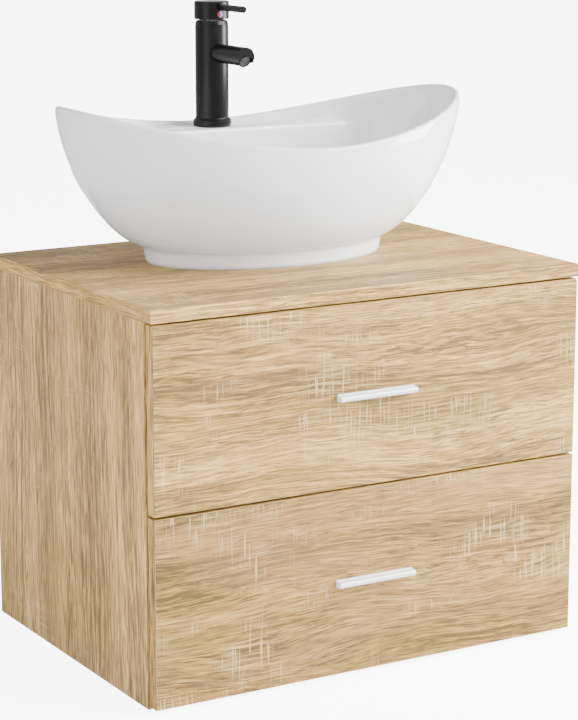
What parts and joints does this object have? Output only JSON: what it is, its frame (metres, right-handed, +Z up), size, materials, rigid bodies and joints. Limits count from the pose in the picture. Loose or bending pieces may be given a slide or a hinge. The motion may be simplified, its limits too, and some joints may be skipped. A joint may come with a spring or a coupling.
{
  "type": "vessel sink on vanity",
  "caption": "Wall-hung two-drawer oak-effect vanity with a boat-shaped white vessel basin and a matt black single-lever mixer tap on its rear deck.",
  "frame": {"origin": "centre of the cabinet's underside, midway between its back and the drawers' faces", "axes": "+Z up; +Y to the wall behind, so the drawers face -Y; +X to the right hand of a person facing the drawers"},
  "size_m": [0.6, 0.452, 0.79],
  "materials": {
    "oak_board": "oak-effect melamine, embossed, satin",
    "inner_board": "plain melamine board, satin",
    "dowel_wood": "beech, raw",
    "hardboard": "white lacquered hardboard",
    "zinc_steel": "zinc plated",
    "cast_zinc": "zinc die casting, matt",
    "runner_steel": "bright zinc plated sheet",
    "handle_finish": "satin anodised, near white",
    "glazed_ceramic": "white gloss glaze",
    "chrome": "polished",
    "rubber": "matt",
    "white_plastic": "moulded, satin",
    "black_coat": "matt black coating on brass",
    "brass": "machined",
    "indicator": "gloss, red and blue halves"
  },
  "bodies": {
    "cabinet": {"top_panel": "oak_board", "left_side_panel": "oak_board", "right_side_panel": "oak_board", "bottom_panel": "oak_board", "upper_back_rail": "inner_board", "lower_back_rail": "inner_board", "wall_brackets": "zinc_steel", "carcass_screws": "zinc_steel", "carcass_cam_locks": "cast_zinc", "carcass_cam_bolts": "zinc_steel", "carcass_dowels": "dowel_wood", "runner_cabinet_members": "runner_steel", "basin": "glazed_ceramic", "waste_flange": "chrome", "waste_seals": "rubber", "waste_lock_nut": "chrome", "trap_head": "white_plastic", "trap_cup": "white_plastic", "trap_coupling_nuts": "white_plastic", "trap_outlet_pipe": "white_plastic", "tap_body": "black_coat", "tap_spout": "black_coat", "aerator_housing": "black_coat", "aerator_insert": "chrome", "tap_cover_ring": "black_coat", "cartridge_nut": "brass", "cartridge_body": "white_plastic", "tap_base_gasket": "rubber", "tap_stud": "brass", "tap_horseshoe_washer": "zinc_steel", "tap_mounting_nut": "brass", "inlet_tails": "brass"},
    "upper_drawer": {"upper_drawer_front": "oak_board", "upper_drawer_left_side": "inner_board", "upper_drawer_right_side": "inner_board", "upper_drawer_rear_walls": "inner_board", "upper_drawer_bottom": "hardboard", "upper_handle": "handle_finish", "upper_handle_screws": "zinc_steel", "upper_runner_drawer_members": "runner_steel"},
    "upper_runners": {"upper_runner_middle_members": "runner_steel"},
    "lower_drawer": {"lower_drawer_front": "oak_board", "lower_drawer_left_side": "inner_board", "lower_drawer_right_side": "inner_board", "lower_drawer_back": "inner_board", "lower_drawer_bottom": "hardboard", "lower_handle": "handle_finish", "lower_handle_screws": "zinc_steel", "lower_runner_drawer_members": "runner_steel"},
    "lower_runners": {"lower_runner_middle_members": "runner_steel"},
    "click_plug": {"waste_plug": "chrome", "plug_seal": "rubber"},
    "tap_turret": {"cartridge_turret": "white_plastic", "stem_pin": "zinc_steel"},
    "tap_lever": {"cartridge_stem": "zinc_steel", "handle_cap": "black_coat", "lever_rod": "black_coat", "temperature_indicator": "indicator", "handle_grub_screw": "zinc_steel"}
  },
  "joints": [
    {"name": "upper_drawer_slide", "type": "slide", "parent": "cabinet", "child": "upper_drawer", "axis": [0, -1, 0], "range_m": [0, 0.37]},
    {"name": "upper_runner_slide", "type": "slide", "parent": "cabinet", "child": "upper_runners", "axis": [0, -1, 0], "range_m": [0, 0.185]},
    {"name": "lower_drawer_slide", "type": "slide", "parent": "cabinet", "child": "lower_drawer", "axis": [0, -1, 0], "range_m": [0, 0.37]},
    {"name": "lower_runner_slide", "type": "slide", "parent": "cabinet", "child": "lower_runners", "axis": [0, -1, 0], "range_m": [0, 0.185]},
    {"name": "plug_click", "type": "slide", "parent": "cabinet", "child": "click_plug", "axis": [0, 0, -1], "range_m": [0, 0.008]},
    {"name": "lever_swivel", "type": "hinge", "parent": "cabinet", "child": "tap_turret", "pos_m": [0, 0.18, 0.758], "axis": [0, 0, 1], "range_deg": [-45, 45]},
    {"name": "lever_lift", "type": "hinge", "parent": "tap_turret", "child": "tap_lever", "pos_m": [0, 0.18, 0.758], "axis": [-1, 0, 0], "range_deg": [0, 22]}
  ],
  "couplings": [
    {"joint": "upper_runner_slide", "follows": "upper_drawer_slide", "ratio": 0.5},
    {"joint": "lower_runner_slide", "follows": "lower_drawer_slide", "ratio": 0.5}
  ]
}
